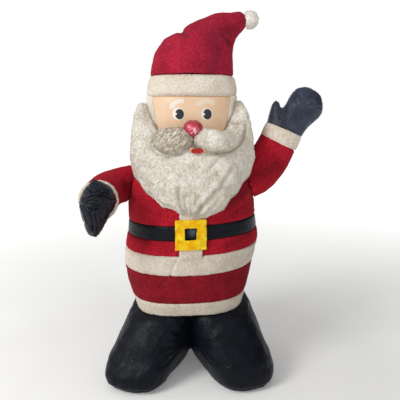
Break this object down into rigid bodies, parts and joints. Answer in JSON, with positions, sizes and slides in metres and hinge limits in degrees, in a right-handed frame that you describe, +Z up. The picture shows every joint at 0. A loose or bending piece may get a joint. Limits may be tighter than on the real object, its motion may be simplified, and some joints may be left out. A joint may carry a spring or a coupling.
{
  "type": "inflatable santa",
  "caption": "Blown-up father christmas yard figure of fleece, plush and nylon, standing on its legs with one mittened arm raised and the other held forward.",
  "frame": {"origin": "on the ground under the middle of the figure's bounding box", "axes": "+Z up, the face looks along -Y, the raised arm is at +X"},
  "size_m": [1.1478, 0.779, 1.7818],
  "materials": {
    "red_fleece": "short matted fleece pile, matt",
    "cream_fleece": "short fleece pile, matt",
    "white_pile": "long curly plush pile, matt",
    "black_nylon": "thin coated nylon, puckered, soft sheen",
    "flesh_nylon": "thin nylon with printed eyes and brows, faint sheen",
    "nose_nylon": "glossy coated nylon, gathered",
    "lip_felt": "felt, matt",
    "yellow_felt": "felt, matt, slightly puckered"
  },
  "bodies": {
    "root": {"hat_bag": "red_fleece", "hat_brim": "cream_fleece", "hat_pompom": "white_pile", "face": "flesh_nylon", "hair": "cream_fleece", "beard": "white_pile", "moustache_drooping": "white_pile", "moustache_curled": "white_pile", "nose": "nose_nylon", "mouth": "lip_felt", "coat_chest": "red_fleece", "belt": "black_nylon", "coat_waist": "red_fleece", "coat_band": "cream_fleece", "coat_skirt": "red_fleece", "coat_hem": "cream_fleece", "placket_upper": "cream_fleece", "placket_lower": "cream_fleece", "buckle": "yellow_felt", "sleeve_low": "red_fleece", "cuff_low": "cream_fleece", "mitten_low": "black_nylon", "sleeve_raised": "red_fleece", "cuff_raised": "cream_fleece", "mitten_raised": "black_nylon", "leg_low": "black_nylon", "leg_raised": "black_nylon"}
  },
  "joints": []
}
